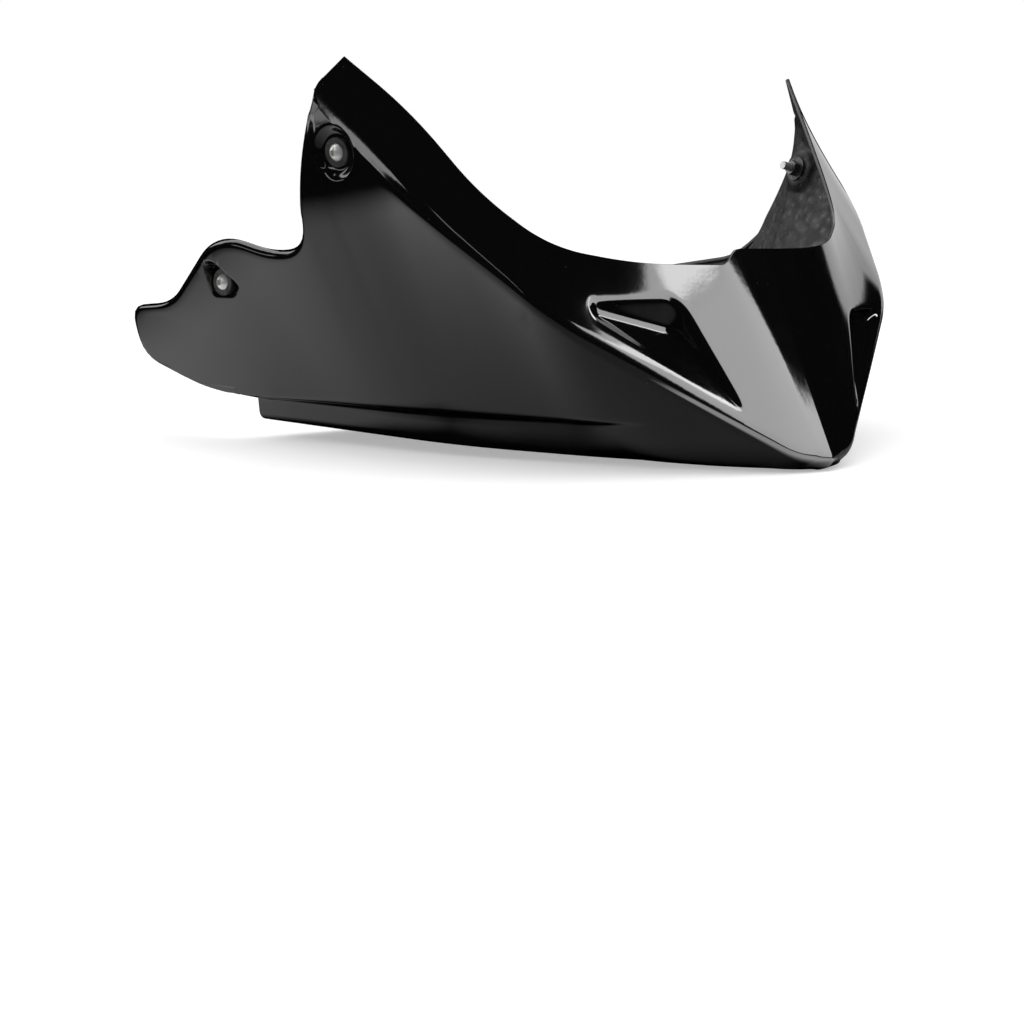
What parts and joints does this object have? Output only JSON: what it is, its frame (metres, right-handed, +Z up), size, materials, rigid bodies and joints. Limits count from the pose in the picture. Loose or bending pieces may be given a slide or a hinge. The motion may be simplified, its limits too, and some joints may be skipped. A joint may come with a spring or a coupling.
{
  "type": "motorcycle belly pan",
  "caption": "Gloss black belly pan for a motorcycle: creased one-piece shell with a pointed nose, two pressed duct recesses, tall wings, uneven tails and screw mounts in dishes.",
  "frame": {"origin": "on the floor under the keel, on the centre line, at the station of the upper screws", "axes": "+X to the machine's left, +Y to its rear with the nose at -Y, +Z up"},
  "size_m": [0.4672, 0.4645, 0.263],
  "materials": {
    "gloss_black": "high-gloss black gel coat outside, matt resin-rich laminate inside",
    "black_steel": "dark satin",
    "bright_steel": "bright zinc, turned"
  },
  "bodies": {
    "root": {"pan_shell": "gloss_black", "screw_upper_right": "bright_steel", "screw_upper_left": "bright_steel", "screw_rear_right": "bright_steel", "screw_rear_left": "bright_steel", "washer_upper_right": "black_steel", "washer_upper_left": "black_steel", "washer_rear_right": "black_steel", "washer_rear_left": "black_steel", "back_washer_upper_right": "black_steel", "back_washer_upper_left": "black_steel", "back_washer_rear_right": "black_steel", "back_washer_rear_left": "black_steel", "nut_upper_right": "bright_steel", "nut_upper_left": "bright_steel", "nut_rear_right": "bright_steel", "nut_rear_left": "bright_steel"}
  },
  "joints": []
}
